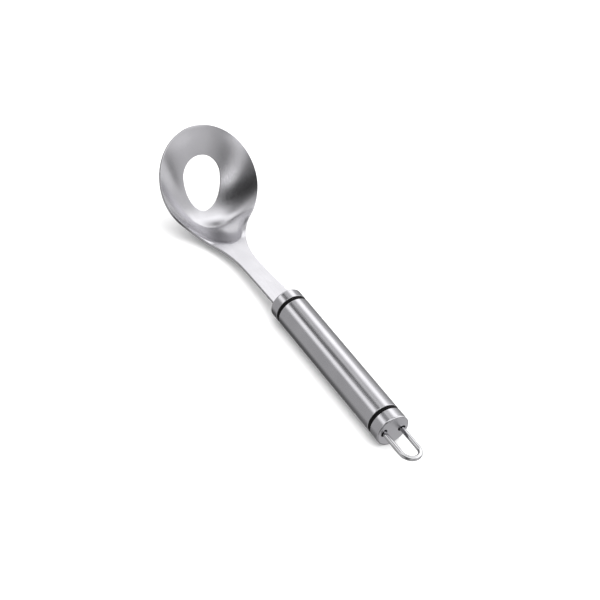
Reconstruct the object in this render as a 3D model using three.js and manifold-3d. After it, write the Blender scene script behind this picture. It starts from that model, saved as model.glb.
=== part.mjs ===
// Meatball scoop: a dished steel head with an egg-shaped hole, on a flat neck, in a round steel handle
// that has a black ring at each end and a wire loop to hang it by.
// Millimetres, +Z up. The handle's axis runs along X: the scoop's tip is at -X and the loop at +X.
import * as THREE from 'three';
import { mergeVertices } from 'three/addons/utils/BufferGeometryUtils.js';
import Module from 'manifold-3d';

const wasm = await Module();
wasm.setup();

// Handle stack, from the collar's front face to the cap's end face
const HANDLE_DIAMETER = 19;
const COLLAR_LENGTH = 6.15;
const RING_WIDTH = 2.3;
const TUBE_LENGTH = 87.6;
const CAP_LENGTH = 7.05;
const WALL = 1;
const COLLAR_FRONT_WALL = 1.5;
const CAP_END_WALL = 1.6;
const COLLAR_EDGE_ROUND = 0.8;
const CAP_EDGE_ROUND = 0.8;
const RING_SINK = 0.15;

// Clearances: between stacked faces, and between a piece and its bore or slot
const SEAM = 0.1;
const FIT = 0.3;

// Plugs inside the tube's two ends, and the pins through the scoop's tang
const FRONT_PLUG_DEPTH = 29;
const REAR_PLUG_DEPTH = 20;
const REAR_PLUG_CORE_DIAMETER = 9;
const REAR_PLUG_FLOOR = 8;
const TANG_LENGTH = 30;
const TANG_WIDTH = 11;
const PIN_DIAMETER = 3;
const PIN_SETBACK = 12;
const PIN_SPACING = 10;
const PIN_END_RECESS = 0.6;

// Hanging loop of round wire, rocking on its two in-turned ends in holes wider than the wire
const WIRE_DIAMETER = 2.7;
const LOOP_WIDTH = 11;
const LOOP_STRAIGHT = 14.9;
const LOOP_CORNER_RADIUS = 2.2;
const LOOP_END_GAP = 1.2;
const LEG_HOLE_DIAMETER = 4.2;

// Shallow relief in the cap's end face: its left and upper edges, its corner and where it leaves the face
const RELIEF_DEPTH = 0.6;
const RELIEF_LEFT = 6.4;
const RELIEF_TOP = 4.85;
const RELIEF_CORNER = 2;
const RELIEF_UPPER_EXIT = new THREE.Vector2(10.6, -5);
const RELIEF_UPPER_BEND = new THREE.Vector2(1.5, 4);
const RELIEF_LOWER_EXIT = new THREE.Vector2(2.2, -10.6);

// Scoop sheet: lengths are measured forward along its rim line from the collar
const SHEET = 1.5;
const NECK_DROP = THREE.MathUtils.degToRad(4.15);
const NECK_LENGTH = 60.9;
const BEND_RADIUS = 16;
const HEAD_TILT = THREE.MathUtils.degToRad(44.65);
const HEAD_REACH = 55.7;
const NECK_ROOT_WIDTH = 13.8;
const NECK_WAIST_WIDTH = 11.8;
const NECK_WAIST_AT = 36;
const HEAD_WIDTH = 61.8;
const HEAD_FRONT_HALF = 33.1;
const HEAD_BACK_HALF = 29.8;
const FLARE_LENGTH = 41;
const BOWL_START = 59;
const BOWL_START_BOW = 7;
const HEEL_REACH = 17;
const HEEL_DROP = 4.34;
const HEEL_RADIUS = 10;
const BOWL_FRONT_POWER = 1.35;
const BOWL_CROSS_POWER = 2.3;
const HOLE_BACK = 82.7;
const HOLE_LENGTH = 31;
const HOLE_WIDTH = 24.1;
const HOLE_WIDEST_SHARE = 0.62;

// Fineness of the facets
const ROUND_SEGMENTS = 72;
const BAR_SEGMENTS = 24;
const WIRE_SEGMENTS = 12;
const WIRE_STEPS = 90;
const SHEET_COLUMNS = 20;
const NECK_ROWS = 14;
const BOWL_ROWS = 26;
const TIP_ROWS = 20;
const TIP_STOP = THREE.MathUtils.degToRad(88);
const HOLE_STEPS = 48;
const ROUND_STEPS = 4;

// Derived places along the handle
const HANDLE_RADIUS = HANDLE_DIAMETER / 2;
const BORE_RADIUS = HANDLE_RADIUS - WALL;
const PLUG_RADIUS = BORE_RADIUS - FIT;
const FRONT_RING_AT = COLLAR_LENGTH;
const TUBE_AT = FRONT_RING_AT + RING_WIDTH;
const REAR_RING_AT = TUBE_AT + TUBE_LENGTH;
const CAP_AT = REAR_RING_AT + RING_WIDTH;
const HANDLE_END = CAP_AT + CAP_LENGTH;
const WIRE_RADIUS = WIRE_DIAMETER / 2;
const PIVOT_AT = HANDLE_END - CAP_END_WALL - FIT - WIRE_RADIUS;
const FRONT_PLUG_AT = COLLAR_FRONT_WALL + FIT;
const FRONT_PLUG_END = TUBE_AT + FRONT_PLUG_DEPTH;
const REAR_PLUG_AT = REAR_RING_AT - REAR_PLUG_DEPTH;
const TIP_AT = NECK_LENGTH + BEND_RADIUS * (NECK_DROP + HEAD_TILT) + HEAD_REACH;
const HEAD_MIDDLE = TIP_AT - HEAD_FRONT_HALF;
const FLARE_END = NECK_WAIST_AT + FLARE_LENGTH;

// Finishes
const finish = (name, color, roughness, metalness) =>
  new THREE.MeshStandardMaterial({ name, color, roughness, metalness });
const SCOOP_STEEL = finish('satin_steel', 0xbfbfc4, 0.3, 1);
const HANDLE_STEEL = finish('brushed_steel', 0xbfbfc4, 0.35, 1);
const WIRE_STEEL = finish('polished_wire', 0xdcdce0, 0.08, 1);
const BLACK_PLASTIC = finish('black_plastic', 0x101012, 0.4, 0);
const PLUG_PLASTIC = finish('plug_plastic', 0x6a6a6c, 0.6, 0);

// Welds shared vertices, drops triangles with no area and turns the faces outward
function weld(geometry) {
  const bare = new THREE.BufferGeometry();
  bare.setAttribute('position', geometry.getAttribute('position'));
  bare.setIndex(geometry.getIndex());
  const merged = mergeVertices(bare, 1e-4);
  const source = merged.getIndex().array;
  const corners = merged.getAttribute('position');
  const kept = [];
  let volume = 0;
  const [a, b, c] = [new THREE.Vector3(), new THREE.Vector3(), new THREE.Vector3()];
  for (let i = 0; i < source.length; i += 3) {
    const [p, q, r] = [source[i], source[i + 1], source[i + 2]];
    if (p === q || q === r || r === p) continue;
    kept.push(p, q, r);
    a.fromBufferAttribute(corners, p);
    b.fromBufferAttribute(corners, q);
    c.fromBufferAttribute(corners, r);
    volume += a.dot(b.cross(c));
  }
  if (volume < 0) kept.reverse();
  merged.setIndex(kept);
  return merged;
}

function toSolid(geometry) {
  const welded = weld(geometry);
  return new wasm.Manifold(new wasm.Mesh({
    numProp: 3,
    vertProperties: new Float32Array(welded.getAttribute('position').array),
    triVerts: new Uint32Array(welded.getIndex().array),
  }));
}

function toGeometry(solid) {
  const { vertProperties, triVerts } = solid.getMesh();
  const geometry = new THREE.BufferGeometry();
  geometry.setAttribute('position', new THREE.BufferAttribute(vertProperties, 3));
  geometry.setIndex(new THREE.BufferAttribute(triVerts, 1));
  return geometry;
}

function cut(geometry, tools) {
  return toGeometry(tools.reduce((solid, tool) => solid.subtract(toSolid(tool)), toSolid(geometry)));
}

function join(geometries) {
  const [first, ...others] = geometries.map(toSolid);
  return toGeometry(others.reduce((solid, other) => solid.add(other), first));
}

// Turns a profile of [radius, place along the handle] points about the handle's axis
function turned(profile) {
  const points = profile.map(([radius, along]) => new THREE.Vector2(radius, along));
  return weld(new THREE.LatheGeometry(points, ROUND_SEGMENTS).rotateZ(-Math.PI / 2));
}

// Points of a rounded outer edge from its face to its side; way is 1 on a rear edge, -1 on a front one
function roundedEdge(radius, along, way, size) {
  return Array.from({ length: ROUND_STEPS + 1 }, (_, i) => {
    const angle = (Math.PI / 2) * (i / ROUND_STEPS);
    return [radius - size * (1 - Math.sin(angle)), along - way * size * (1 - Math.cos(angle))];
  });
}

function ringProfile(inner, outer, start, end) {
  return [[inner, start], [outer, start], [outer, end], [inner, end], [inner, start]];
}

// A box from its lowest to its highest corner
function boxBetween(low, high) {
  const size = new THREE.Vector3().subVectors(high, low);
  const middle = new THREE.Vector3().addVectors(low, high).multiplyScalar(0.5);
  return new THREE.BoxGeometry(size.x, size.y, size.z).translate(middle.x, middle.y, middle.z);
}

// A round bar across the handle, along Z
function crossBar(radius, along, halfLength) {
  const bar = new THREE.CylinderGeometry(radius, radius, 2 * halfLength, BAR_SEGMENTS);
  return bar.rotateX(Math.PI / 2).translate(along, 0, 0);
}

// A flat outline drawn in Y and Z, extruded along X from start to end
function plateAcross(shape, start, end) {
  const plate = new THREE.ExtrudeGeometry(shape, {
    depth: end - start, bevelEnabled: false, curveSegments: WIRE_SEGMENTS,
  });
  const axes = new THREE.Matrix4().makeBasis(
    new THREE.Vector3(0, 1, 0), new THREE.Vector3(0, 0, 1), new THREE.Vector3(1, 0, 0));
  return plate.applyMatrix4(axes).translate(start, 0, 0);
}

// Scoop sheet

// The rim line in side view: a straight neck, a bend and a straight tilted head, as a point and a heading
function rimLine(s) {
  const start = new THREE.Vector2(SEAM, SHEET / 2);
  const along = (angle, length) => new THREE.Vector2(Math.cos(angle), Math.sin(angle)).multiplyScalar(length);
  const bendLength = BEND_RADIUS * (NECK_DROP + HEAD_TILT);
  if (s <= NECK_LENGTH) return { point: start.add(along(-NECK_DROP, s)), heading: -NECK_DROP };
  start.add(along(-NECK_DROP, NECK_LENGTH));
  const turn = Math.min(s - NECK_LENGTH, bendLength) / BEND_RADIUS;
  const heading = turn - NECK_DROP;
  start.x += BEND_RADIUS * (Math.sin(heading) + Math.sin(NECK_DROP));
  start.y += BEND_RADIUS * (Math.cos(NECK_DROP) - Math.cos(heading));
  const straight = Math.max(0, s - NECK_LENGTH - bendLength);
  return { point: start.add(along(heading, straight)), heading };
}

// Half of the head's oval at a place along the rim line, and how fast it grows there
function headOval(s) {
  const half = s > HEAD_MIDDLE ? HEAD_FRONT_HALF : HEAD_BACK_HALF;
  const share = (HEAD_MIDDLE - s) / half;
  const height = Math.sqrt(Math.max(0, 1 - share * share));
  return { half: (HEAD_WIDTH / 2) * height, growth: ((HEAD_WIDTH / 2) * share) / (half * height) };
}

// Smooth step between two values with chosen slopes at its ends
function hermite(share, length, from, fromSlope, to, toSlope) {
  const [square, cube] = [share * share, share * share * share];
  return (2 * cube - 3 * square + 1) * from + (cube - 2 * square + share) * length * fromSlope
    + (3 * square - 2 * cube) * to + (cube - square) * length * toSlope;
}

function halfWidth(s) {
  const [root, waist] = [NECK_ROOT_WIDTH / 2, NECK_WAIST_WIDTH / 2];
  const taper = (waist - root) / NECK_WAIST_AT;
  if (s < NECK_WAIST_AT) return hermite(s / NECK_WAIST_AT, NECK_WAIST_AT, root, taper, waist, 0);
  if (s > FLARE_END) return headOval(s).half;
  const meeting = headOval(FLARE_END);
  return hermite((s - NECK_WAIST_AT) / FLARE_LENGTH, FLARE_LENGTH, waist, 0, meeting.half, meeting.growth);
}

// The bowl's heel in side view: an arc from the bowl's start to its lowest point, which lies ahead of and below
// the neck's end, then a tighter arc up to the deepest place, where the bowl runs along the rim
function heelArcs() {
  const { point: start } = rimLine(BOWL_START);
  const { point: neckEnd } = rimLine(NECK_LENGTH);
  const low = new THREE.Vector2(neckEnd.x + HEEL_REACH, neckEnd.y - HEEL_DROP);
  const [run, fall] = [low.x - start.x, start.y - low.y];
  const { point: bendEnd, heading } = rimLine(TIP_AT - HEAD_REACH);
  const x = low.x + HEEL_RADIUS * Math.sin(heading) - bendEnd.x;
  const y = low.y + HEEL_RADIUS * (1 - Math.cos(heading)) - bendEnd.y;
  return {
    low,
    backRadius: (run * run + fall * fall) / (2 * fall),
    deepest: TIP_AT - HEAD_REACH + x * Math.cos(heading) + y * Math.sin(heading),
    depth: x * Math.sin(heading) - y * Math.cos(heading),
  };
}

const HEEL = heelArcs();

// Distance from the rim line, square to it, to an arc that is level at the heel's lowest point
function arcDepth(s, radius) {
  const { point, heading } = rimLine(s);
  const [x, y] = [point.x - HEEL.low.x, point.y - HEEL.low.y - radius];
  const along = x * Math.sin(heading) - y * Math.cos(heading);
  return Math.sqrt(Math.max(0, along * along - x * x - y * y + radius * radius)) - along;
}

// Depth of the bowl under its rim along its middle
function middleDepth(s) {
  if (s >= HEEL.deepest) {
    const share = Math.min(1, (s - HEEL.deepest) / (TIP_AT - HEEL.deepest));
    return HEEL.depth * Math.pow(Math.max(0, Math.cos((Math.PI / 2) * share)), BOWL_FRONT_POWER);
  }
  const { point, heading } = rimLine(s);
  const depth = arcDepth(s, HEEL.backRadius);
  if (point.x + depth * Math.sin(heading) <= HEEL.low.x) return depth;
  return arcDepth(s, HEEL_RADIUS);
}

// Depth of the bowl under its rim anywhere; it starts on a bowed line across the sheet
function bowlDepth(s, across) {
  const start = BOWL_START + BOWL_START_BOW * across * across;
  if (s <= start) return 0;
  const stretch = s < HEEL.deepest ? (HEEL.deepest - BOWL_START) / (HEEL.deepest - start) : 1;
  const place = HEEL.deepest + (s - HEEL.deepest) * stretch;
  return middleDepth(place) * (1 - Math.pow(Math.abs(across), BOWL_CROSS_POWER));
}

// A point of the sheet's upper face; across runs from -1 to 1
function sheetPoint(s, across) {
  const { point, heading } = rimLine(s);
  const depth = bowlDepth(s, across);
  return new THREE.Vector3(
    -(point.x + depth * Math.sin(heading)), halfWidth(s) * across, point.y - depth * Math.cos(heading));
}

function sheetNormal(s, across) {
  const step = 1e-3;
  const forward = sheetPoint(s + step, across).sub(sheetPoint(s - step, across));
  const sideways = sheetPoint(s, across + step).sub(sheetPoint(s, across - step));
  const normal = forward.cross(sideways).normalize();
  return normal.z < 0 ? normal.negate() : normal;
}

// Places of the sheet's rows: even along the neck and bowl, closing up towards the round tip
function sheetRows() {
  const rows = [];
  for (let i = 0; i < NECK_ROWS; i += 1) rows.push((BOWL_START * i) / NECK_ROWS);
  for (let i = 0; i < BOWL_ROWS; i += 1) rows.push(BOWL_START + ((HEAD_MIDDLE - BOWL_START) * i) / BOWL_ROWS);
  for (let i = 0; i <= TIP_ROWS; i += 1) {
    rows.push(HEAD_MIDDLE + HEAD_FRONT_HALF * Math.sin((TIP_STOP * i) / TIP_ROWS));
  }
  return rows;
}

// The pressed sheet as a closed body: upper face, lower face one thickness below, and the edge between
function pressedSheet() {
  const rows = sheetRows();
  const columns = SHEET_COLUMNS + 1;
  const upper = [];
  const lower = [];
  for (const s of rows) {
    for (let j = 0; j < columns; j += 1) {
      const across = (2 * j) / SHEET_COLUMNS - 1;
      const top = sheetPoint(s, across);
      upper.push(top);
      lower.push(top.clone().addScaledVector(sheetNormal(s, across), -SHEET));
    }
  }
  const count = upper.length;
  const index = [];
  const quad = (a, b, c, d) => index.push(a, b, c, a, c, d);
  for (let i = 0; i + 1 < rows.length; i += 1) {
    for (let j = 0; j < SHEET_COLUMNS; j += 1) {
      const a = i * columns + j;
      const [b, c, d] = [a + 1, a + columns + 1, a + columns];
      quad(a, b, c, d);
      quad(count + a, count + d, count + c, count + b);
    }
    const [left, right] = [i * columns, i * columns + SHEET_COLUMNS];
    quad(left, left + columns, count + left + columns, count + left);
    quad(right, count + right, count + right + columns, right + columns);
  }
  const last = (rows.length - 1) * columns;
  for (let j = 0; j < SHEET_COLUMNS; j += 1) {
    quad(j, count + j, count + j + 1, j + 1);
    quad(last + j, last + j + 1, count + last + j + 1, count + last + j);
  }
  const geometry = new THREE.BufferGeometry();
  const positions = [...upper, ...lower].flatMap((p) => p.toArray());
  geometry.setAttribute('position', new THREE.Float32BufferAttribute(positions, 3));
  geometry.setIndex(index);
  return geometry;
}

// Egg-shaped prism, square to the bowl where the hole is, with its blunt end towards the tip
function holeTool() {
  const back = sheetPoint(HOLE_BACK, 0);
  const front = sheetPoint(HOLE_BACK + HOLE_LENGTH, 0);
  const length = front.distanceTo(back);
  const widest = length * HOLE_WIDEST_SHARE;
  const shape = new THREE.Shape();
  for (let i = 0; i < HOLE_STEPS; i += 1) {
    const angle = (2 * Math.PI * i) / HOLE_STEPS;
    const reach = Math.cos(angle) > 0 ? length - widest : widest;
    const point = [widest + reach * Math.cos(angle), (HOLE_WIDTH / 2) * Math.sin(angle)];
    if (i === 0) shape.moveTo(...point);
    else shape.lineTo(...point);
  }
  shape.closePath();
  const forward = front.clone().sub(back).normalize();
  const sideways = new THREE.Vector3(0, 1, 0);
  const outward = new THREE.Vector3().crossVectors(forward, sideways);
  const prism = new THREE.ExtrudeGeometry(shape, { depth: 2 * HEEL.depth, bevelEnabled: false });
  prism.translate(0, 0, -HEEL.depth);
  const frame = new THREE.Matrix4().makeBasis(forward, sideways, outward).setPosition(back);
  return prism.applyMatrix4(frame);
}

const pinPlaces = [PIN_SETBACK, PIN_SETBACK + PIN_SPACING];

function scoop() {
  const tang = boxBetween(
    new THREE.Vector3(-2 * SEAM, -TANG_WIDTH / 2, -SHEET / 2),
    new THREE.Vector3(TANG_LENGTH, TANG_WIDTH / 2, SHEET / 2));
  const pinHoles = pinPlaces.map((along) => crossBar(PIN_DIAMETER / 2 + FIT, along, SHEET));
  return cut(join([pressedSheet(), tang]), [holeTool(), ...pinHoles]);
}

// Handle pieces

// Clearance slot for the tang from one place along the handle to another
function tangSlot(start, end) {
  const [halfWide, halfHigh] = [TANG_WIDTH / 2 + FIT, SHEET / 2 + FIT];
  const low = new THREE.Vector3(start, -halfWide, -halfHigh);
  return boxBetween(low, new THREE.Vector3(end, halfWide, halfHigh));
}

function frontCollar() {
  const shell = turned([
    [0, 0], ...roundedEdge(HANDLE_RADIUS, 0, -1, COLLAR_EDGE_ROUND), [HANDLE_RADIUS, COLLAR_LENGTH],
    [BORE_RADIUS, COLLAR_LENGTH], [BORE_RADIUS, COLLAR_FRONT_WALL], [0, COLLAR_FRONT_WALL],
  ]);
  return cut(shell, [tangSlot(-1, COLLAR_FRONT_WALL + 1)]);
}

function blackRing(start) {
  const [near, far] = [start + SEAM, start + RING_WIDTH - SEAM];
  return turned(ringProfile(BORE_RADIUS, HANDLE_RADIUS - RING_SINK, near, far));
}

function handleTube() {
  return turned(ringProfile(BORE_RADIUS, HANDLE_RADIUS, TUBE_AT, REAR_RING_AT));
}

function frontPlug() {
  const body = turned([
    [0, FRONT_PLUG_AT], [PLUG_RADIUS, FRONT_PLUG_AT], [PLUG_RADIUS, FRONT_PLUG_END], [0, FRONT_PLUG_END],
  ]);
  const pinHoles = pinPlaces.map((along) => crossBar(PIN_DIAMETER / 2 + FIT, along, HANDLE_RADIUS));
  return cut(body, [tangSlot(FRONT_PLUG_AT - 1, TANG_LENGTH + FIT), ...pinHoles]);
}

function tangPin(along) {
  return weld(crossBar(PIN_DIAMETER / 2, along, PLUG_RADIUS - PIN_END_RECESS));
}

// The rear plug ends level with the loop's pivot, where a half-round groove carries the wire's in-turned ends
function rearPlug() {
  const coreRadius = REAR_PLUG_CORE_DIAMETER / 2;
  const coreEnd = PIVOT_AT - REAR_PLUG_FLOOR;
  const body = turned([
    [coreRadius, REAR_PLUG_AT], [PLUG_RADIUS, REAR_PLUG_AT], [PLUG_RADIUS, PIVOT_AT], [0, PIVOT_AT],
    [0, coreEnd], [coreRadius, coreEnd], [coreRadius, REAR_PLUG_AT],
  ]);
  const grooveRadius = WIRE_RADIUS + FIT;
  const groove = new THREE.CylinderGeometry(grooveRadius, grooveRadius, HANDLE_DIAMETER, BAR_SEGMENTS);
  return cut(body, [groove.translate(PIVOT_AT, 0, 0)]);
}

// A round hole in the cap's end wall for one leg of the loop, with room for the leg to rock
function legHole(side) {
  const middle = (side * LOOP_WIDTH) / 2;
  const shape = new THREE.Shape().absarc(middle, 0, LEG_HOLE_DIAMETER / 2, 0, 2 * Math.PI);
  return plateAcross(shape, HANDLE_END - CAP_END_WALL - 1, HANDLE_END + 1);
}

function reliefTool() {
  const shape = new THREE.Shape();
  shape.moveTo(-RELIEF_LEFT, 0);
  shape.lineTo(-RELIEF_LEFT, RELIEF_TOP - RELIEF_CORNER);
  const [cornerY, cornerZ] = [RELIEF_CORNER - RELIEF_LEFT, RELIEF_TOP - RELIEF_CORNER];
  shape.absarc(cornerY, cornerZ, RELIEF_CORNER, Math.PI, Math.PI / 2, true);
  shape.quadraticCurveTo(...RELIEF_UPPER_BEND.toArray(), ...RELIEF_UPPER_EXIT.toArray());
  shape.lineTo(RELIEF_UPPER_EXIT.x, RELIEF_LOWER_EXIT.y);
  shape.lineTo(RELIEF_LOWER_EXIT.x, RELIEF_LOWER_EXIT.y);
  shape.closePath();
  return plateAcross(shape, HANDLE_END - RELIEF_DEPTH, HANDLE_END + 1);
}

function endCap() {
  const inside = HANDLE_END - CAP_END_WALL;
  const shell = turned([
    [0, inside], [BORE_RADIUS, inside], [BORE_RADIUS, CAP_AT], [HANDLE_RADIUS, CAP_AT],
    ...roundedEdge(HANDLE_RADIUS, HANDLE_END, 1, CAP_EDGE_ROUND).reverse(), [0, HANDLE_END],
  ]);
  return cut(shell, [reliefTool(), legHole(-1), legHole(1)]);
}

// Centre line of the loop's wire: from one in-turned end round the loop to the other, in the XY plane
class LoopLine extends THREE.CurvePath {
  constructor() {
    super();
    const half = LOOP_WIDTH / 2;
    const corner = LOOP_CORNER_RADIUS;
    const far = HANDLE_END + LOOP_STRAIGHT;
    const at = (x, y) => new THREE.Vector3(x, y, 0);
    const bend = (x, y, radius, from, to) => {
      const flat = new THREE.ArcCurve(x, y, radius, from, to, false);
      return new THREE.CatmullRomCurve3(flat.getSpacedPoints(12).map((p) => at(p.x, p.y)));
    };
    this.add(new THREE.LineCurve3(at(PIVOT_AT, -LOOP_END_GAP / 2), at(PIVOT_AT, corner - half)));
    this.add(bend(PIVOT_AT + corner, corner - half, corner, Math.PI, 1.5 * Math.PI));
    this.add(new THREE.LineCurve3(at(PIVOT_AT + corner, -half), at(far, -half)));
    this.add(bend(far, 0, half, -Math.PI / 2, Math.PI / 2));
    this.add(new THREE.LineCurve3(at(far, half), at(PIVOT_AT + corner, half)));
    this.add(bend(PIVOT_AT + corner, half - corner, corner, Math.PI / 2, Math.PI));
    this.add(new THREE.LineCurve3(at(PIVOT_AT, half - corner), at(PIVOT_AT, LOOP_END_GAP / 2)));
  }
}

function hangingLoop() {
  const section = new THREE.Shape().absarc(0, 0, WIRE_RADIUS, 0, 2 * Math.PI);
  return weld(new THREE.ExtrudeGeometry(section, {
    steps: WIRE_STEPS, curveSegments: WIRE_SEGMENTS, extrudePath: new LoopLine(),
  }));
}

// Assembly, with the origin under the middle of the whole object on the surface that it rests on
const assembly = new THREE.Group();

function place(name, geometry, material) {
  const mesh = new THREE.Mesh(geometry, material);
  mesh.name = name;
  assembly.add(mesh);
}

place('scoop', scoop(), SCOOP_STEEL);
place('front_collar', frontCollar(), HANDLE_STEEL);
place('front_ring', blackRing(FRONT_RING_AT), BLACK_PLASTIC);
place('handle_tube', handleTube(), HANDLE_STEEL);
place('rear_ring', blackRing(REAR_RING_AT), BLACK_PLASTIC);
place('end_cap', endCap(), HANDLE_STEEL);
place('hanging_loop', hangingLoop(), WIRE_STEEL);
place('front_plug', frontPlug(), PLUG_PLASTIC);
place('rear_plug', rearPlug(), PLUG_PLASTIC);
pinPlaces.forEach((along, i) => place(`tang_pin_${i + 1}`, tangPin(along), HANDLE_STEEL));

const extent = new THREE.Box3().setFromObject(assembly);
const middle = extent.getCenter(new THREE.Vector3());
assembly.position.set(-middle.x, 0, -extent.min.z);

export default assembly;
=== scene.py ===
"""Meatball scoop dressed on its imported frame: fine steel meshes, procedural metals, pale studio."""

import math

import bmesh
import bpy
from mathutils import Matrix, Vector


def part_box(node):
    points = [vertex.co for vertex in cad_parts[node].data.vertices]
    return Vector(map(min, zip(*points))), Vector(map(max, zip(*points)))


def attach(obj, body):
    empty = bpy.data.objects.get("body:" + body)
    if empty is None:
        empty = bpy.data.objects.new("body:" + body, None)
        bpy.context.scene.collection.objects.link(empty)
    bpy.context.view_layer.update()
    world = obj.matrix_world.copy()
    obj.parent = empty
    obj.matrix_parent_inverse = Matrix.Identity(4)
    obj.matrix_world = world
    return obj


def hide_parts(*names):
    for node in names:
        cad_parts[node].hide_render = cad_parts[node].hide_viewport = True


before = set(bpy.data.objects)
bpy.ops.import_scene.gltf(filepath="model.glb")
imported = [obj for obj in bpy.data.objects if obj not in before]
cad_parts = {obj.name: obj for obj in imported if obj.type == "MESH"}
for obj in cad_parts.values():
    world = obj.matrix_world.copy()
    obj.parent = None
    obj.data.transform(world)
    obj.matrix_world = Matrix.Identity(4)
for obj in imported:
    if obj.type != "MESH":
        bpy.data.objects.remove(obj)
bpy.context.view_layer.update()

MM = 0.001

# Sizes of the object in millimetres, x measured back along the handle from the collar's front face
HANDLE_RADIUS = 9.5
WALL = 1.0
COLLAR_LENGTH = 6.15
COLLAR_FRONT_WALL = 1.5
COLLAR_EDGE_ROUND = 0.8
SEAM_EDGE_ROUND = 0.15
RING_WIDTH = 2.3
RING_SINK = 0.15
RING_ROUND = 0.25
TUBE_LENGTH = 87.6
TUBE_END_ROUND = 0.25
CAP_LENGTH = 7.05
CAP_END_WALL = 1.6
CAP_EDGE_ROUND = 0.8
CAP_FACE_ROUND = 0.12
SEAM = 0.1
FIT = 0.3
CUT_PAST = 1.0

TANG_LENGTH = 30.0
TANG_WIDTH = 11.0
PIN_RADIUS = 1.5
PIN_PLACES = (12.0, 22.0)

WIRE_RADIUS = 1.35
LOOP_HALF_WIDTH = 5.5
LOOP_STRAIGHT = 14.9
LOOP_CORNER = 2.2
LOOP_END_GAP = 1.2
LEG_HOLE_RADIUS = 2.1
WIRE_END_ROUND = 0.35

RELIEF_DEPTH = 0.6
RELIEF_LEFT = 6.4
RELIEF_TOP = 4.85
RELIEF_CORNER = 2.0
RELIEF_UPPER_BEND = (1.5, 4.0)
RELIEF_UPPER_EXIT = (10.6, -5.0)
RELIEF_LOWER_EXIT = (2.2, -10.6)

SHEET = 1.5
NECK_DROP = math.radians(4.15)
NECK_LENGTH = 60.9
BEND_RADIUS = 16.0
HEAD_TILT = math.radians(44.65)
HEAD_REACH = 55.7
NECK_ROOT_HALF = 6.9
NECK_WAIST_HALF = 5.9
NECK_WAIST_AT = 36.0
HEAD_HALF_WIDTH = 30.9
HEAD_FRONT_HALF = 33.1
HEAD_BACK_HALF = 29.8
FLARE_LENGTH = 41.0
BOWL_START = 59.0
BOWL_START_BOW = 7.0
HEEL_REACH = 17.0
HEEL_DROP = 4.34
HEEL_RADIUS = 10.0
BOWL_FRONT_POWER = 1.35
BOWL_CROSS_POWER = 2.3
HOLE_BACK = 82.7
HOLE_LENGTH = 31.0
HOLE_HALF_WIDTH = 12.05
HOLE_WIDEST_SHARE = 0.62
SHEET_EDGE_ROUND = 0.45

# Places that follow from them
BORE_RADIUS = HANDLE_RADIUS - WALL
RING_AT = COLLAR_LENGTH
TUBE_AT = RING_AT + RING_WIDTH
REAR_RING_AT = TUBE_AT + TUBE_LENGTH
CAP_AT = REAR_RING_AT + RING_WIDTH
HANDLE_END = CAP_AT + CAP_LENGTH
PIVOT_AT = HANDLE_END - CAP_END_WALL - FIT - WIRE_RADIUS
BEND_LENGTH = BEND_RADIUS * (NECK_DROP + HEAD_TILT)
TIP_AT = NECK_LENGTH + BEND_LENGTH + HEAD_REACH
HEAD_MIDDLE = TIP_AT - HEAD_FRONT_HALF
FLARE_END = NECK_WAIST_AT + FLARE_LENGTH

# Fineness of the meshes
TURNS = 160
SUPPORT = 0.3
FILLET_STEPS = 6
CIRCLE_STEPS = 48
RELIEF_CORNER_STEPS = 12
RELIEF_ARC_STEPS = 32
RIM_STEPS = 56
RIM_FINE_STEPS = 1600
SECTION_STEPS = 24
RADIAL_STEPS = 26
NECK_STEPS = 60
WIRE_SIDES = 28
WIRE_END_STEPS = 8
WIRE_CORNER_STEPS = 12
WIRE_LEG_STEPS = 16
WIRE_BEND_STEPS = 48
MERGE_WITHIN = 1e-7
TOO_SHORT = 1e-8
SHARP_ANGLE = math.radians(35)
ROUND_ANGLE = math.radians(40)

# The head's mesh runs from the hole's edge to the rim, and the neck's mesh joins it at a section
SECTION_AT = 66.0
SECTION_HOLE_ANGLE = math.radians(146)
TIP_GAP = 1e-4
NORMAL_STEP = 0.02
NORMAL_STOP = TIP_AT - 1.5
HOLE_SEARCH = 8.0
HOLE_SEARCH_STEPS = 40

# The handle's axis in the row frame
collar_low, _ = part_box("front_collar")
tube_low, tube_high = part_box("handle_tube")
AXIS = Vector((collar_low[0], 0.0, (tube_low[2] + tube_high[2]) / 2))


def row(x, y, z):
    """A point in millimetres from the collar's front face on the handle's axis, in the row frame."""
    return AXIS + Vector((x, y, z)) * MM


def make_object(name, verts, faces):
    """A smooth-shaded closed mesh with its faces turned outward."""
    mesh = bpy.data.meshes.new(name)
    mesh.from_pydata([tuple(v) for v in verts], [], faces)
    bm = bmesh.new()
    bm.from_mesh(mesh)
    bmesh.ops.remove_doubles(bm, verts=bm.verts, dist=MERGE_WITHIN)
    bmesh.ops.dissolve_degenerate(bm, edges=bm.edges, dist=TOO_SHORT)
    bmesh.ops.recalc_face_normals(bm, faces=bm.faces)
    bm.to_mesh(mesh)
    bm.free()
    shade(mesh)
    obj = bpy.data.objects.new(name, mesh)
    bpy.context.collection.objects.link(obj)
    return obj


def shade(mesh):
    mesh.shade_smooth()
    mesh.set_sharp_from_angle(angle=SHARP_ANGLE)


def soften(obj, width, segments=3):
    """Small rounds on the sharp edges, so that they catch the light."""
    bevel = obj.modifiers.new("edge_round", "BEVEL")
    bevel.width = width * MM
    bevel.segments = segments
    bevel.limit_method = "ANGLE"
    bevel.angle_limit = ROUND_ANGLE
    bevel.harden_normals = True


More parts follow.
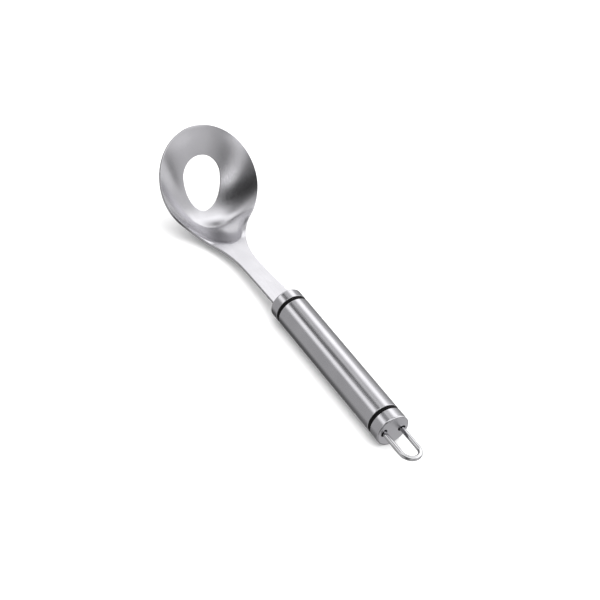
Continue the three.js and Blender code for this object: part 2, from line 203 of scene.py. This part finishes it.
def carve(obj, cutters):
    """Cuts the cutters out of obj and removes them."""
    for cutter in cutters:
        cut = obj.modifiers.new("cut", "BOOLEAN")
        cut.operation = "DIFFERENCE"
        cut.solver = "EXACT"
        cut.object = cutter
    graph = bpy.context.evaluated_depsgraph_get()
    result = bpy.data.meshes.new_from_object(obj.evaluated_get(graph))
    obj.modifiers.clear()
    obj.data = result
    shade(result)
    for cutter in cutters:
        bpy.data.objects.remove(cutter, do_unlink=True)


def fillet(corners):
    """A closed outline with rounded corners, from corners given as (a, b, radius)."""
    points = []
    count = len(corners)
    for i, (a, b, radius) in enumerate(corners):
        here = Vector((a, b))
        if radius == 0:
            points.append(here)
            continue
        before = (Vector(corners[i - 1][:2]) - here).normalized()
        after = (Vector(corners[(i + 1) % count][:2]) - here).normalized()
        half = before.angle(after) / 2
        centre = here + (before + after).normalized() * (radius / math.sin(half))
        start = here + before * (radius / math.tan(half)) - centre
        end = here + after * (radius / math.tan(half)) - centre
        sweep = math.atan2(start.x * end.y - start.y * end.x, start.dot(end))
        for k in range(FILLET_STEPS + 1):
            points.append(centre + Matrix.Rotation(sweep * k / FILLET_STEPS, 2) @ start)
    return points


def supported(outline):
    """Adds a point near each end of every long stretch, which keeps the shading there straight."""
    points = []
    for here, after in zip(outline, outline[1:] + outline[:1]):
        points.append(here)
        length = (after - here).length
        if length > 3 * SUPPORT:
            points += [here.lerp(after, SUPPORT / length), after.lerp(here, SUPPORT / length)]
    return points


def turned(name, corners):
    """A closed outline of (radius, x, corner round) turned about the handle's axis."""
    outline = supported(fillet(corners))
    count = len(outline)
    verts = []
    for k in range(TURNS):
        angle = 2 * math.pi * k / TURNS
        verts += [row(p.y, p.x * math.cos(angle), p.x * math.sin(angle)) for p in outline]
    faces = []
    for k in range(TURNS):
        here, there = k * count, ((k + 1) % TURNS) * count
        for i in range(count):
            after = (i + 1) % count
            faces.append((here + i, here + after, there + after, there + i))
    return make_object(name, verts, faces)


def circle(radius):
    angles = (2 * math.pi * k / CIRCLE_STEPS for k in range(CIRCLE_STEPS))
    return [Vector((math.cos(a), math.sin(a))) * radius for a in angles]


def rectangle(x0, x1, half):
    return [Vector(p) for p in ((x0, -half), (x1, -half), (x1, half), (x0, half))]


def slab(name, outline, lift, depth):
    """A closed prism; lift turns an outline point and a height, depth[0] to depth[1], into a row point."""
    count = len(outline)
    verts = [lift(p, depth[0]) for p in outline] + [lift(p, depth[1]) for p in outline]
    faces = [tuple(range(count)), tuple(range(2 * count - 1, count - 1, -1))]
    faces += [(i, (i + 1) % count, count + (i + 1) % count, count + i) for i in range(count)]
    return make_object(name, verts, faces)


# The scoop's sheet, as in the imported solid

def rim_line(s):
    """Forward distance, height and heading of the rim line in side view."""
    x, z = SEAM, SHEET / 2
    along = min(s, NECK_LENGTH)
    x += along * math.cos(NECK_DROP)
    z -= along * math.sin(NECK_DROP)
    if s <= NECK_LENGTH:
        return x, z, -NECK_DROP
    heading = min(s - NECK_LENGTH, BEND_LENGTH) / BEND_RADIUS - NECK_DROP
    x += BEND_RADIUS * (math.sin(heading) + math.sin(NECK_DROP))
    z += BEND_RADIUS * (math.cos(NECK_DROP) - math.cos(heading))
    straight = max(0.0, s - NECK_LENGTH - BEND_LENGTH)
    return x + straight * math.cos(heading), z + straight * math.sin(heading), heading


def head_oval(s):
    """Half width of the head's oval and how fast it grows along the rim line."""
    half = HEAD_FRONT_HALF if s > HEAD_MIDDLE else HEAD_BACK_HALF
    share = (HEAD_MIDDLE - s) / half
    height = math.sqrt(max(1e-12, 1 - share * share))
    return HEAD_HALF_WIDTH * height, HEAD_HALF_WIDTH * share / (half * height)


def hermite(share, length, start, start_slope, end, end_slope):
    """A smooth curve between two values with given slopes at its ends."""
    square, cube = share * share, share ** 3
    return ((2 * cube - 3 * square + 1) * start + (cube - 2 * square + share) * length * start_slope
            + (3 * square - 2 * cube) * end + (cube - square) * length * end_slope)


def half_width(s):
    """Half width of the sheet: neck, flare and head."""
    if s < NECK_WAIST_AT:
        taper = (NECK_WAIST_HALF - NECK_ROOT_HALF) / NECK_WAIST_AT
        return hermite(s / NECK_WAIST_AT, NECK_WAIST_AT, NECK_ROOT_HALF, taper, NECK_WAIST_HALF, 0.0)
    if s > FLARE_END:
        return head_oval(s)[0]
    half, growth = head_oval(FLARE_END)
    return hermite((s - NECK_WAIST_AT) / FLARE_LENGTH, FLARE_LENGTH, NECK_WAIST_HALF, 0.0, half, growth)


def heel_arcs():
    """The heel in side view: lowest point, radius of the arc behind it, deepest place and its depth."""
    start_x, start_z, _ = rim_line(BOWL_START)
    neck_x, neck_z, _ = rim_line(NECK_LENGTH)
    low = Vector((neck_x + HEEL_REACH, neck_z - HEEL_DROP))
    run, fall = low.x - start_x, start_z - low.y
    bend_x, bend_z, heading = rim_line(TIP_AT - HEAD_REACH)
    x = low.x + HEEL_RADIUS * math.sin(heading) - bend_x
    z = low.y + HEEL_RADIUS * (1 - math.cos(heading)) - bend_z
    deepest = TIP_AT - HEAD_REACH + x * math.cos(heading) + z * math.sin(heading)
    back_radius = (run * run + fall * fall) / (2 * fall)
    depth = x * math.sin(heading) - z * math.cos(heading)
    return low, back_radius, deepest, depth


HEEL_LOW, HEEL_BACK_RADIUS, BOWL_DEEPEST, BOWL_DEPTH = heel_arcs()


def arc_depth(s, radius):
    """Distance from the rim line, square to it, to an arc that is level at the heel's lowest point."""
    x, z, heading = rim_line(s)
    x, z = x - HEEL_LOW.x, z - HEEL_LOW.y - radius
    along = x * math.sin(heading) - z * math.cos(heading)
    return math.sqrt(max(0.0, along * along - x * x - z * z + radius * radius)) - along


def middle_depth(s):
    """Depth of the bowl under its rim along its middle."""
    if s >= BOWL_DEEPEST:
        share = min(1.0, (s - BOWL_DEEPEST) / (TIP_AT - BOWL_DEEPEST))
        return BOWL_DEPTH * max(0.0, math.cos(math.pi / 2 * share)) ** BOWL_FRONT_POWER
    x, _, heading = rim_line(s)
    depth = arc_depth(s, HEEL_BACK_RADIUS)
    if x + depth * math.sin(heading) <= HEEL_LOW.x:
        return depth
    return arc_depth(s, HEEL_RADIUS)


def bowl_depth(s, across):
    """Depth of the bowl under its rim anywhere; it starts on a bowed line across the sheet."""
    across = min(1.0, abs(across))
    start = BOWL_START + BOWL_START_BOW * across * across
    if s <= start:
        return 0.0
    stretch = (BOWL_DEEPEST - BOWL_START) / (BOWL_DEEPEST - start) if s < BOWL_DEEPEST else 1.0
    return middle_depth(BOWL_DEEPEST + (s - BOWL_DEEPEST) * stretch) * (1 - across ** BOWL_CROSS_POWER)


def sheet_point(s, y):
    """A point of the sheet's upper face in millimetres, at a place along the rim line and across it."""
    x, z, heading = rim_line(s)
    across = y / max(half_width(s), 1e-3)
    depth = bowl_depth(s, across)
    return Vector((-(x + depth * math.sin(heading)), y, z - depth * math.cos(heading)))


def sheet_normal(s, y):
    s = min(s, NORMAL_STOP)
    forward = sheet_point(s + NORMAL_STEP, y) - sheet_point(s - NORMAL_STEP, y)
    sideways = sheet_point(s, y + NORMAL_STEP) - sheet_point(s, y - NORMAL_STEP)
    normal = forward.cross(sideways).normalized()
    return -normal if normal.z < 0 else normal


def hole_edge(angle):
    """(place along the rim line, y) of the hole's edge; angle 0 points to the tip."""
    back, front = sheet_point(HOLE_BACK, 0), sheet_point(HOLE_BACK + HOLE_LENGTH, 0)
    forward = (front - back).normalized()
    length = (front - back).length
    widest = length * HOLE_WIDEST_SHARE
    reach = length - widest if math.cos(angle) > 0 else widest
    along, y = widest + reach * math.cos(angle), HOLE_HALF_WIDTH * math.sin(angle)
    low, high = HOLE_BACK - HOLE_SEARCH, HOLE_BACK + HOLE_LENGTH + HOLE_SEARCH
    for _ in range(HOLE_SEARCH_STEPS):
        middle = (low + high) / 2
        if (sheet_point(middle, y) - back).dot(forward) < along:
            low = middle
        else:
            high = middle
    return low, y


def rim_points():
    """Evenly spaced (s, y) points of one side of the head's edge, from the tip to the neck's section."""
    path = []
    for i in range(RIM_FINE_STEPS + 1):
        share = (i / RIM_FINE_STEPS) ** 2
        s = TIP_AT - TIP_GAP - (TIP_AT - TIP_GAP - SECTION_AT) * share
        path.append((s, half_width(s) if i else 0.0))
    lengths = [0.0]
    for (s0, y0), (s1, y1) in zip(path, path[1:]):
        lengths.append(lengths[-1] + math.hypot(s1 - s0, y1 - y0))
    points, k = [], 0
    for i in range(RIM_STEPS + 1):
        target = lengths[-1] * i / RIM_STEPS
        while k + 1 < RIM_FINE_STEPS and lengths[k + 1] < target:
            k += 1
        share = (target - lengths[k]) / (lengths[k + 1] - lengths[k])
        s = path[k][0] + (path[k + 1][0] - path[k][0]) * share
        points.append((s, path[k][1] + (path[k + 1][1] - path[k][1]) * share))
    return points


def head_lines():
    """Pairs of hole edge and outer edge round the head; the neck's section is among the outer ones."""
    side = rim_points()
    half = half_width(SECTION_AT)
    lines = []
    for i, outer in enumerate(side):
        lines.append((hole_edge(SECTION_HOLE_ANGLE * i / RIM_STEPS), outer))
    for i in range(1, SECTION_STEPS):
        share = i / SECTION_STEPS
        angle = SECTION_HOLE_ANGLE + 2 * (math.pi - SECTION_HOLE_ANGLE) * share
        lines.append((hole_edge(angle), (SECTION_AT, half * (1 - 2 * share))))
    for i in range(RIM_STEPS, 0, -1):
        s, y = side[i]
        hole_s, hole_y = hole_edge(SECTION_HOLE_ANGLE * i / RIM_STEPS)
        lines.append(((hole_s, -hole_y), (s, -y)))
    return lines


def pressed_sheet():
    """Vertices and faces of the head and neck: upper face, lower face and the edges between."""
    places = []
    lines = head_lines()
    for inner, outer in lines:
        for r in range(RADIAL_STEPS + 1):
            share = r / RADIAL_STEPS
            places.append(tuple(a + (b - a) * share for a, b in zip(inner, outer)))
    around, stride = len(lines), RADIAL_STEPS + 1
    first = RIM_STEPS
    section = [(first + i) * stride + RADIAL_STEPS for i in range(SECTION_STEPS + 1)]
    grid = [section]
    for m in range(1, NECK_STEPS + 1):
        s = SECTION_AT * (1 - m / NECK_STEPS)
        start = len(places)
        places += [(s, half_width(s) * (1 - 2 * i / SECTION_STEPS)) for i in range(SECTION_STEPS + 1)]
        grid.append(list(range(start, start + SECTION_STEPS + 1)))
    upper = [sheet_point(s, y) for s, y in places]
    lower = [p - sheet_normal(s, y) * SHEET for p, (s, y) in zip(upper, places)]
    count = len(places)
    faces = []

    def skin(a, b, c, d):
        faces.append((a, b, c, d))
        faces.append((count + d, count + c, count + b, count + a))

    def edge(a, b):
        faces.append((a, b, count + b, count + a))

    for k in range(around):
        here, there = k * stride, ((k + 1) % around) * stride
        for r in range(RADIAL_STEPS):
            skin(here + r, here + r + 1, there + r + 1, there + r)
        edge(there, here)
        if not first <= k < first + SECTION_STEPS:
            edge(here + RADIAL_STEPS, there + RADIAL_STEPS)
    for near, far in zip(grid, grid[1:]):
        for i in range(SECTION_STEPS):
            skin(near[i], far[i], far[i + 1], near[i + 1])
        edge(near[0], far[0])
        edge(far[-1], near[-1])
    for i in range(SECTION_STEPS):
        edge(grid[-1][i], grid[-1][i + 1])
    return [row(*p) for p in upper + lower], faces


def build_scoop():
    verts, faces = pressed_sheet()
    scoop = make_object("scoop_sheet", verts, faces)
    outline = rectangle(-SEAM, TANG_LENGTH, TANG_WIDTH / 2)
    tang = slab("tang", outline, lambda p, h: row(p.x, p.y, h), (-SHEET / 2, SHEET / 2))
    carve(tang, [round_bar("pin_hole", PIN_RADIUS + FIT, x) for x in PIN_PLACES])
    merge(scoop, tang)
    soften(scoop, SHEET_EDGE_ROUND)
    return scoop


def round_bar(name, radius, x):
    """A vertical bar through the handle's axis."""
    return slab(name, circle(radius), lambda p, h: row(x + p.x, p.y, h), (-HANDLE_RADIUS, HANDLE_RADIUS))


def merge(obj, other):
    """Adds the other object's mesh to obj as a second shell."""
    bm = bmesh.new()
    bm.from_mesh(obj.data)
    bm.from_mesh(other.data)
    bm.to_mesh(obj.data)
    bm.free()
    bpy.data.objects.remove(other, do_unlink=True)


# Handle pieces

def build_collar():
    outer, inner = HANDLE_RADIUS, BORE_RADIUS
    collar = turned("collar_cup", [
        (0.0, 0.0, 0), (outer, 0.0, COLLAR_EDGE_ROUND), (outer, COLLAR_LENGTH, SEAM_EDGE_ROUND),
        (inner, COLLAR_LENGTH, 0), (inner, COLLAR_FRONT_WALL, 0), (0.0, COLLAR_FRONT_WALL, 0)])
    half = TANG_WIDTH / 2 + FIT
    outline = rectangle(-half, half, SHEET / 2 + FIT)
    slot = slab("slot", outline, lambda p, h: row(h, p.x, p.y), (-CUT_PAST, COLLAR_FRONT_WALL + CUT_PAST))
    carve(collar, [slot])
    return collar


def build_ring(name, start):
    outer, inner = HANDLE_RADIUS - RING_SINK, BORE_RADIUS
    near, far = start + SEAM, start + RING_WIDTH - SEAM
    return turned(name, [
        (inner, near, 0), (outer, near, RING_ROUND), (outer, far, RING_ROUND), (inner, far, 0)])


def build_tube():
    outer, inner = HANDLE_RADIUS, BORE_RADIUS
    return turned("tube_shell", [
        (inner, TUBE_AT, 0), (outer, TUBE_AT, TUBE_END_ROUND), (outer, REAR_RING_AT, TUBE_END_ROUND),
        (inner, REAR_RING_AT, 0)])


def relief_outline():
    """Outline of the end face's relief in y and z."""
    points = [Vector((-RELIEF_LEFT, 0.0))]
    centre = Vector((RELIEF_CORNER - RELIEF_LEFT, RELIEF_TOP - RELIEF_CORNER))
    for k in range(RELIEF_CORNER_STEPS + 1):
        angle = math.pi - math.pi / 2 * k / RELIEF_CORNER_STEPS
        points.append(centre + Vector((math.cos(angle), math.sin(angle))) * RELIEF_CORNER)
    start, bend, end = points[-1], Vector(RELIEF_UPPER_BEND), Vector(RELIEF_UPPER_EXIT)
    for k in range(1, RELIEF_ARC_STEPS + 1):
        t = k / RELIEF_ARC_STEPS
        points.append(start * (1 - t) ** 2 + bend * (2 * t * (1 - t)) + end * t * t)
    points.append(Vector((RELIEF_UPPER_EXIT[0], RELIEF_LOWER_EXIT[1])))
    points.append(Vector(RELIEF_LOWER_EXIT))
    return points


def build_cap():
    outer, inner, inside = HANDLE_RADIUS, BORE_RADIUS, HANDLE_END - CAP_END_WALL
    cap = turned("cap_cup", [
        (0.0, inside, 0), (inner, inside, 0), (inner, CAP_AT, 0), (outer, CAP_AT, SEAM_EDGE_ROUND),
        (outer, HANDLE_END, CAP_EDGE_ROUND), (0.0, HANDLE_END, 0)])

    def lift(p, h):
        return row(h, p.x, p.y)

    past = HANDLE_END + CUT_PAST
    cutters = [slab("relief", relief_outline(), lift, (HANDLE_END - RELIEF_DEPTH, past))]
    for y in (-LOOP_HALF_WIDTH, LOOP_HALF_WIDTH):
        ring = [p + Vector((y, 0)) for p in circle(LEG_HOLE_RADIUS)]
        cutters.append(slab("leg_hole", ring, lift, (inside - CUT_PAST, past)))
    carve(cap, cutters)
    cap.data.materials.append(BRUSHED)
    cap.data.materials.append(END_FACE)
    for face in cap.data.polygons:
        face.material_index = 1 if face.normal.x > END_FACING else 0
    soften(cap, CAP_FACE_ROUND, segments=2)
    return cap


def loop_line():
    """(x, y, heading) along the wire's centre line, from one in-turned end round the loop to the other."""
    half, corner, far = LOOP_HALF_WIDTH, LOOP_CORNER, HANDLE_END + LOOP_STRAIGHT
    path = []

    def straight(x0, y0, x1, y1, steps):
        heading = math.atan2(y1 - y0, x1 - x0)
        path.extend((x0 + (x1 - x0) * k / steps, y0 + (y1 - y0) * k / steps, heading) for k in range(steps))

    def bend(x, y, radius, start, end, steps):
        for k in range(steps):
            angle = start + (end - start) * k / steps
            path.append((x + radius * math.cos(angle), y + radius * math.sin(angle), angle + math.pi / 2))

    leg_at = PIVOT_AT + corner
    straight(PIVOT_AT, -LOOP_END_GAP / 2, PIVOT_AT, corner - half, WIRE_END_STEPS)
    bend(leg_at, corner - half, corner, math.pi, 1.5 * math.pi, WIRE_CORNER_STEPS)
    straight(leg_at, -half, far, -half, WIRE_LEG_STEPS)
    bend(far, 0.0, half, -math.pi / 2, math.pi / 2, WIRE_BEND_STEPS)
    straight(far, half, leg_at, half, WIRE_LEG_STEPS)
    bend(leg_at, half - corner, corner, math.pi / 2, math.pi, WIRE_CORNER_STEPS)
    straight(PIVOT_AT, half - corner, PIVOT_AT, LOOP_END_GAP / 2, WIRE_END_STEPS)
    path.append((PIVOT_AT, LOOP_END_GAP / 2, -math.pi / 2))
    return path


def build_loop():
    line, sides = loop_line(), WIRE_SIDES
    verts = []
    for x, y, heading in line:
        side = Vector((-math.sin(heading), math.cos(heading)))
        for k in range(sides):
            angle = 2 * math.pi * k / sides
            out = side * (WIRE_RADIUS * math.cos(angle))
            verts.append(row(x + out.x, y + out.y, WIRE_RADIUS * math.sin(angle)))
    faces = []
    last = (len(line) - 1) * sides
    for here in range(0, last, sides):
        there = here + sides
        for k in range(sides):
            after = (k + 1) % sides
            faces.append((here + k, here + after, there + after, there + k))
    faces.append(tuple(range(sides)))
    faces.append(tuple(range(last + sides - 1, last - 1, -1)))
    loop = make_object("loop_wire", verts, faces)
    soften(loop, WIRE_END_ROUND)
    return loop


# Materials

NOISE_LOW, NOISE_HIGH = 0.3, 0.7
GRAIN_DETAIL = 4.0
CLOUD_SCALE, CLOUD_DETAIL = 90.0, 3.0
MOTTLE_SCALE = 700.0
MOTTLE_STRENGTH = 0.15
BUMP_HEIGHT = 0.00002
END_FACING = 0.99


def node_material(name):
    material = bpy.data.materials.new(name)
    material.use_nodes = True
    tree = material.node_tree
    return material, tree, tree.nodes["Principled BSDF"]


def noise(tree, scale, detail, stretch=(1.0, 1.0, 1.0)):
    """A noise texture in the row frame, stretched along the axes; scale is in cells per metre."""
    nodes, links = tree.nodes, tree.links
    coordinates = nodes.new("ShaderNodeTexCoord")
    mapping = nodes.new("ShaderNodeMapping")
    mapping.inputs["Scale"].default_value = stretch
    texture = nodes.new("ShaderNodeTexNoise")
    texture.inputs["Scale"].default_value = scale
    texture.inputs["Detail"].default_value = detail
    links.new(coordinates.outputs["Object"], mapping.inputs["Vector"])
    links.new(mapping.outputs["Vector"], texture.inputs["Vector"])
    return texture.outputs["Fac"]


def spread(tree, value, low, high):
    """Maps a noise value to a range."""
    node = tree.nodes.new("ShaderNodeMapRange")
    node.inputs["From Min"].default_value = NOISE_LOW
    node.inputs["From Max"].default_value = NOISE_HIGH
    node.inputs["To Min"].default_value = low
    node.inputs["To Max"].default_value = high
    tree.links.new(value, node.inputs["Value"])
    return node.outputs["Result"]


def tint(tree, value, dark, light):
    """Mixes two near colours by a noise value."""
    ramp = tree.nodes.new("ShaderNodeValToRGB")
    ramp.color_ramp.elements[0].position = NOISE_LOW
    ramp.color_ramp.elements[0].color = (*dark, 1)
    ramp.color_ramp.elements[1].position = NOISE_HIGH
    ramp.color_ramp.elements[1].color = (*light, 1)
    tree.links.new(value, ramp.inputs["Fac"])
    return ramp.outputs["Color"]


def bump(tree, value, strength):
    node = tree.nodes.new("ShaderNodeBump")
    node.inputs["Strength"].default_value = strength
    node.inputs["Distance"].default_value = BUMP_HEIGHT
    tree.links.new(value, node.inputs["Height"])
    return node.outputs["Normal"]


def steel(name, colours, rough, scale, stretch, strength):
    """Stainless steel: a grain of the given scale, stretch and strength, and slow clouds of polish."""
    material, tree, shader = node_material(name)
    links = tree.links
    grain = noise(tree, scale, GRAIN_DETAIL, stretch)
    clouds = noise(tree, CLOUD_SCALE, CLOUD_DETAIL)
    shader.inputs["Metallic"].default_value = 1.0
    links.new(tint(tree, clouds, *colours), shader.inputs["Base Color"])
    links.new(spread(tree, grain, *rough), shader.inputs["Roughness"])
    links.new(bump(tree, grain, strength), shader.inputs["Normal"])
    return material


def plastic(name, colours, rough, shine):
    """Moulded plastic with a slight mottle."""
    material, tree, shader = node_material(name)
    mottle = noise(tree, MOTTLE_SCALE, GRAIN_DETAIL)
    shader.inputs["Specular IOR Level"].default_value = shine
    tree.links.new(tint(tree, mottle, *colours), shader.inputs["Base Color"])
    tree.links.new(spread(tree, mottle, *rough), shader.inputs["Roughness"])
    tree.links.new(bump(tree, mottle, MOTTLE_STRENGTH), shader.inputs["Normal"])
    return material


STEEL = ((0.481, 0.476, 0.498), (0.521, 0.516, 0.539))
CHROME = ((0.56, 0.56, 0.575), (0.61, 0.61, 0.625))
NEAR_BLACK = ((0.002, 0.002, 0.002), (0.005, 0.005, 0.005))
GREY = ((0.13, 0.13, 0.14), (0.17, 0.17, 0.18))
EVEN = (1.0, 1.0, 1.0)
ALONG_HEAD = (0.05, 1.0, 0.3)
ALONG_HANDLE = (0.012, 1.0, 1.0)

SATIN = steel("satin_steel", STEEL, (0.17, 0.24), 2600.0, ALONG_HEAD, 0.12)
BRUSHED = steel("brushed_steel", STEEL, (0.14, 0.22), 3200.0, ALONG_HANDLE, 0.1)
END_FACE = steel("turned_steel", STEEL, (0.36, 0.46), 3200.0, EVEN, 0.2)
WIRE = steel("polished_wire", CHROME, (0.03, 0.07), 2000.0, EVEN, 0.05)
BLACK = plastic("black_plastic", NEAR_BLACK, (0.35, 0.45), 0.05)
PLUG = plastic("plug_plastic", GREY, (0.5, 0.65), 0.5)


# Pieces on the frame

def place(piece, node, body, material):
    """Puts a piece in its node's stead; a piece that already has its finishes keeps them."""
    if not piece.data.materials:
        piece.data.materials.append(material)
    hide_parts(node)
    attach(piece, body)


place(build_scoop(), "scoop", "handle", SATIN)
place(build_collar(), "front_collar", "handle", BRUSHED)
place(build_ring("front_band", RING_AT), "front_ring", "handle", BLACK)
place(build_tube(), "handle_tube", "handle", BRUSHED)
place(build_ring("rear_band", REAR_RING_AT), "rear_ring", "handle", BLACK)
place(build_cap(), "end_cap", "handle", BRUSHED)
place(build_loop(), "hanging_loop", "loop", WIRE)

HIDDEN = {"front_plug": PLUG, "rear_plug": PLUG, "tang_pin_1": BRUSHED, "tang_pin_2": BRUSHED}
for node, material in HIDDEN.items():
    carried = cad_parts[node]
    carried.data.materials.clear()
    carried.data.materials.append(material)


# Studio: pale floor, a room of soft cards that the steel reflects, camera at the photograph's angle

FLOOR_HALF = 3.0
FLOOR_COLOURS = ((0.90, 0.90, 0.90), (0.92, 0.92, 0.92))
FLOOR_ROUGH = 0.9
PAPER_SCALE, PAPER_DETAIL = 3.0, 2.0


def build_floor():
    half = FLOOR_HALF
    verts = [(-half, -half, 0.0), (half, -half, 0.0), (half, half, 0.0), (-half, half, 0.0)]
    mesh = bpy.data.meshes.new("floor")
    mesh.from_pydata(verts, [], [(0, 1, 2, 3)])
    floor = bpy.data.objects.new("floor", mesh)
    bpy.context.collection.objects.link(floor)
    material, tree, shader = node_material("pale_floor")
    paper = noise(tree, PAPER_SCALE, PAPER_DETAIL)
    tree.links.new(tint(tree, paper, *FLOOR_COLOURS), shader.inputs["Base Color"])
    shader.inputs["Roughness"].default_value = FLOOR_ROUGH
    mesh.materials.append(material)
    floor.visible_glossy = False


EVEN_LIGHT = 1.3
WHITE = (1.0, 1.0, 1.0, 1.0)
ROOM_BRIGHTNESS = 0.57

# Soft cards of the studio as the steel sees them, each laid over the ones before it: azimuth and elevation
# of the middle, turn of its width from the X axis (all in degrees), half width and half height as sines,
# softness of the edge, brightness
CARDS = {
    "overhead": (76, 71, -88, 0.96, 0.64, 0.2, 2.0),
    "heel_card": (134, 71, 28, 0.40, 0.30, 1.0, 0.4),
    "dark_side": (-68, 45, 18, 0.57, 0.35, 0.7, 0.12),
    "camera_dark": (-43, 44, 42, 0.63, 0.18, 0.5, 0.02),
    "strip_light": (-145, 35, -46, 0.52, 0.13, 0.8, 1.8),
    "heel_light": (176, 38, 0, 0.17, 0.17, 0.5, 1.5),
    "dark_line": (-152, 50, 0, 0.08, 0.18, 0.5, 0.0),
    "top_dark": (4, 15, 0, 0.09, 0.17, 0.8, 0.1),
    "small_light": (-6, 27, -27, 0.05, 0.25, 0.5, 1.9),
    "front_card": (48, 20, -8, 0.32, 0.17, 0.55, 1.25),
    "far_light": (144, 39, 0, 0.20, 0.21, 0.6, 2.1),
    "side_card": (75, 12, -25, 0.69, 0.13, 0.5, 0.86),
    "left_dark": (61, 3, 0, 0.09, 0.08, 0.7, 0.1),
    "low_dark": (127, -10, 0, 0.14, 0.24, 0.6, 0.36),
    "dark_below": (-175, -53, 4, 0.14, 0.42, 0.6, 0.1),
    "below": (0, -88, 0, 0.45, 0.45, 0.6, 0.35),
    "end_card": (41, -38, 0, 0.26, 0.22, 0.5, 0.95),
    "loop_dark": (95, -60, 0, 0.35, 0.25, 0.5, 0.02),
    "low_front": (-47, -10, 0, 0.36, 0.42, 0.5, 0.04),
}


def card(tree, direction, below, azimuth, elevation, turn, half_wide, half_high, soft, brightness):
    """Lays one soft oval card over the brightness below it, which is the plain room where below is None."""
    nodes, links = tree.nodes, tree.links
    azimuth, elevation, turn = (math.radians(a) for a in (azimuth, elevation, turn))
    middle = Vector((math.cos(elevation) * math.cos(azimuth), math.cos(elevation) * math.sin(azimuth),
                     math.sin(elevation)))
    along = Vector((1, 0, 0)) - middle * middle.x
    along = Matrix.Rotation(turn, 3, middle) @ along.normalized()
    across = middle.cross(along)

    def reach(axis, size):
        node = nodes.new("ShaderNodeVectorMath")
        node.operation = "DOT_PRODUCT"
        node.inputs[1].default_value = axis / size
        links.new(direction, node.inputs[0])
        return node.outputs["Value"]

    plane = nodes.new("ShaderNodeCombineXYZ")
    links.new(reach(along, half_wide), plane.inputs["X"])
    links.new(reach(across, half_high), plane.inputs["Y"])
    distance = nodes.new("ShaderNodeVectorMath")
    distance.operation = "LENGTH"
    links.new(plane.outputs["Vector"], distance.inputs[0])
    edge = nodes.new("ShaderNodeMapRange")
    edge.interpolation_type = "SMOOTHSTEP"
    edge.inputs["From Min"].default_value = 1 - soft
    edge.inputs["From Max"].default_value = 1 + soft
    edge.inputs["To Min"].default_value = 1.0
    edge.inputs["To Max"].default_value = 0.0
    links.new(distance.outputs["Value"], edge.inputs["Value"])
    facing = nodes.new("ShaderNodeMath")
    facing.operation = "GREATER_THAN"
    facing.inputs[1].default_value = 0.0
    links.new(reach(middle, 1.0), facing.inputs[0])
    share = nodes.new("ShaderNodeMath")
    share.operation = "MULTIPLY"
    links.new(edge.outputs["Result"], share.inputs[0])
    links.new(facing.outputs["Value"], share.inputs[1])
    over = nodes.new("ShaderNodeMix")
    over.inputs["B"].default_value = brightness
    links.new(share.outputs["Value"], over.inputs["Factor"])
    if below is None:
        over.inputs["A"].default_value = ROOM_BRIGHTNESS
    else:
        links.new(below, over.inputs["A"])
    return over.outputs["Result"]


def build_room():
    """Surroundings: glossy rays see the cards, and all other rays an even white."""
    world = bpy.data.worlds.new("room")
    bpy.context.scene.world = world
    world.use_nodes = True
    tree = world.node_tree
    nodes, links = tree.nodes, tree.links
    direction = nodes.new("ShaderNodeTexCoord").outputs["Generated"]
    seen = None
    for size in CARDS.values():
        seen = card(tree, direction, seen, *size)
    path = nodes.new("ShaderNodeLightPath")
    even = nodes.new("ShaderNodeMix")
    even.inputs["A"].default_value = EVEN_LIGHT
    links.new(path.outputs["Is Glossy Ray"], even.inputs["Factor"])
    links.new(seen, even.inputs["B"])
    links.new(even.outputs["Result"], nodes["Background"].inputs["Strength"])
    nodes["Background"].inputs["Color"].default_value = WHITE


OBJECT_MIDDLE = Vector((0.0, 0.0, 0.01))
LIGHT_AT = Vector((0.1, 0.2, 1.6))
LIGHT_SIZE = 2.4
LIGHT_WATTS = 26.0


def build_light():
    """A soft area light overhead, aimed at the middle of the object; the steel doesn't reflect it."""
    light = bpy.data.lights.new("overhead", "AREA")
    light.size = LIGHT_SIZE
    light.energy = LIGHT_WATTS
    obj = bpy.data.objects.new("overhead", light)
    obj.location = LIGHT_AT
    obj.rotation_euler = (OBJECT_MIDDLE - LIGHT_AT).to_track_quat("-Z", "Y").to_euler()
    obj.visible_glossy = False
    bpy.context.collection.objects.link(obj)


# Camera fitted to the photograph: lens and sensor, place in millimetres from the front ring's middle on the
# axis, and its own right, up and back directions
SENSOR_WIDTH = 36.0
LENS = 107.4
CLIP_NEAR, CLIP_FAR = 0.05, 20.0
CAMERA_AT = (568.7, -495.5, 598.3)
CAMERA_RIGHT = Vector((0.5198, 0.8305, 0.2001))
CAMERA_UP = Vector((-0.6155, 0.2017, 0.7619))
CAMERA_BACK = Vector((0.5924, -0.5192, 0.616))


def build_camera():
    data = bpy.data.cameras.new("photo_camera")
    data.sensor_width = SENSOR_WIDTH
    data.lens = LENS
    data.clip_start = CLIP_NEAR
    data.clip_end = CLIP_FAR
    camera = bpy.data.objects.new("photo_camera", data)
    x, y, z = CAMERA_AT
    turn = Matrix((CAMERA_RIGHT, CAMERA_UP, CAMERA_BACK)).transposed().to_4x4()
    camera.matrix_world = Matrix.Translation(row(RING_AT + RING_WIDTH / 2 + x, y, z)) @ turn
    bpy.context.collection.objects.link(camera)
    bpy.context.scene.camera = camera


build_floor()
build_room()
build_light()
build_camera()
bpy.context.scene.view_settings.view_transform = "Standard"
